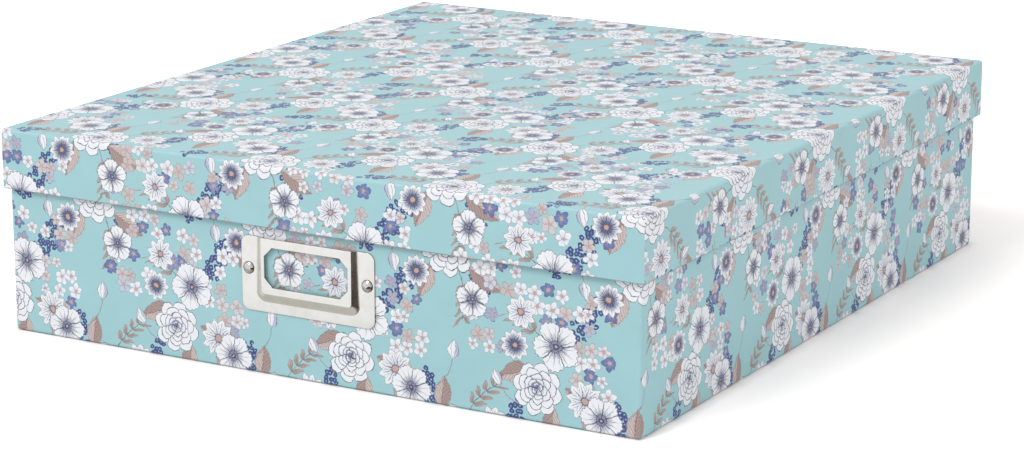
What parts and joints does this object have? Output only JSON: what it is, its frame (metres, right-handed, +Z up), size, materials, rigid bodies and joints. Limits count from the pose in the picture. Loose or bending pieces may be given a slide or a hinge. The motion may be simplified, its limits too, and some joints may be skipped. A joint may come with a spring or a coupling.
{
  "type": "photo storage box",
  "caption": "Rigid paper-covered storage box with a lift-off lid, paper linings and a stamped metal label holder pinned to its front wall.",
  "frame": {"origin": "middle of the underside, where the box stands on a table", "axes": "+X to the box's right as seen from the front, +Y to the back, +Z up; the label holder is on the -Y wall"},
  "size_m": [0.3362, 0.3752, 0.0971],
  "materials": {
    "greyboard": "uncoated greyboard",
    "kraft_tape": "gummed kraft paper",
    "printed_paper": "matt printed covering paper, floral on aqua",
    "lining_paper": "matt off-white lining paper",
    "nickel": "satin warm nickel plate",
    "pin_nickel": "polished warm nickel plate"
  },
  "bodies": {
    "base": {"base_board": "greyboard", "base_stay_front_left": "kraft_tape", "base_stay_front_right": "kraft_tape", "base_stay_back_left": "kraft_tape", "base_stay_back_right": "kraft_tape", "base_wrap": "printed_paper", "base_bottom_paper": "printed_paper", "base_wall_lining": "lining_paper", "base_floor_lining": "lining_paper", "label_holder": "nickel", "split_pin_left": "pin_nickel", "split_pin_right": "pin_nickel"},
    "lid": {"lid_board": "greyboard", "lid_stay_front_left": "kraft_tape", "lid_stay_front_right": "kraft_tape", "lid_stay_back_left": "kraft_tape", "lid_stay_back_right": "kraft_tape", "lid_wrap": "printed_paper", "lid_lining": "lining_paper"}
  },
  "joints": [
    {"name": "lid_lift", "type": "slide", "parent": "base", "child": "lid", "axis": [0, 0, 1], "range_m": [0, 0.12]}
  ]
}
